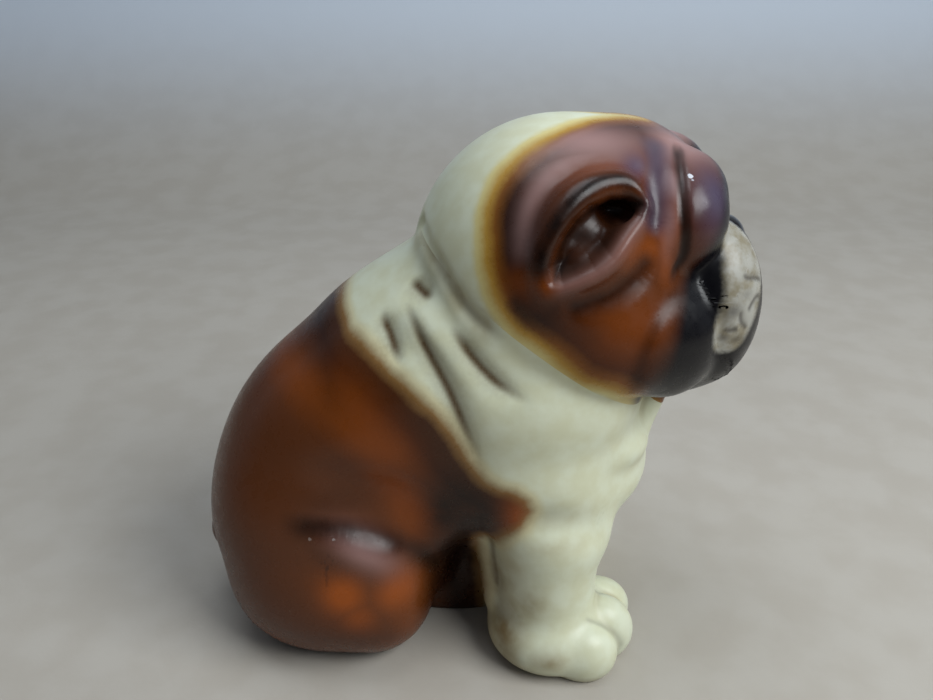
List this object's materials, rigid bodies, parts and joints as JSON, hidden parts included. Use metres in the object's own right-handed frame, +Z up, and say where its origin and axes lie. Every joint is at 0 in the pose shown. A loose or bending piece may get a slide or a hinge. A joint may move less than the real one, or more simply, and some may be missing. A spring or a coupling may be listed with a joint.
{
  "type": "ceramic dog figurine",
  "caption": "Seated bulldog puppy figurine in satin painted ceramic, brown and cream with a dark mask, hollow cast, standing free on a flat base.",
  "frame": {"origin": "under the middle of the figurine's length and width, on the surface it stands on", "axes": "+X the way the dog looks, +Y towards its left side, +Z up"},
  "size_m": [0.118, 0.0626, 0.1143],
  "materials": {
    "body_glaze": "satin airbrushed brown over cream",
    "head_glaze": "satin airbrushed brown fading to cream",
    "muzzle_glaze": "satin cream with dark edge",
    "dark_glaze": "satin black airbrush",
    "nose_gloss": "glossy black",
    "eye_gloss": "glossy dark brown",
    "ear_glaze": "satin dark brown",
    "leg_glaze": "satin cream"
  },
  "bodies": {
    "root": {"torso_shell": "body_glaze", "head_shell": "head_glaze", "muzzle": "muzzle_glaze", "lower_jaw": "dark_glaze", "nose": "nose_gloss", "eye_right": "eye_gloss", "eye_left": "eye_gloss", "ear_right": "ear_glaze", "ear_left": "ear_glaze", "foreleg_right": "leg_glaze", "foreleg_left": "leg_glaze", "haunch_right": "body_glaze", "haunch_left": "body_glaze", "hind_paw_right": "body_glaze", "hind_paw_left": "body_glaze", "tail_nub": "body_glaze"}
  },
  "joints": []
}
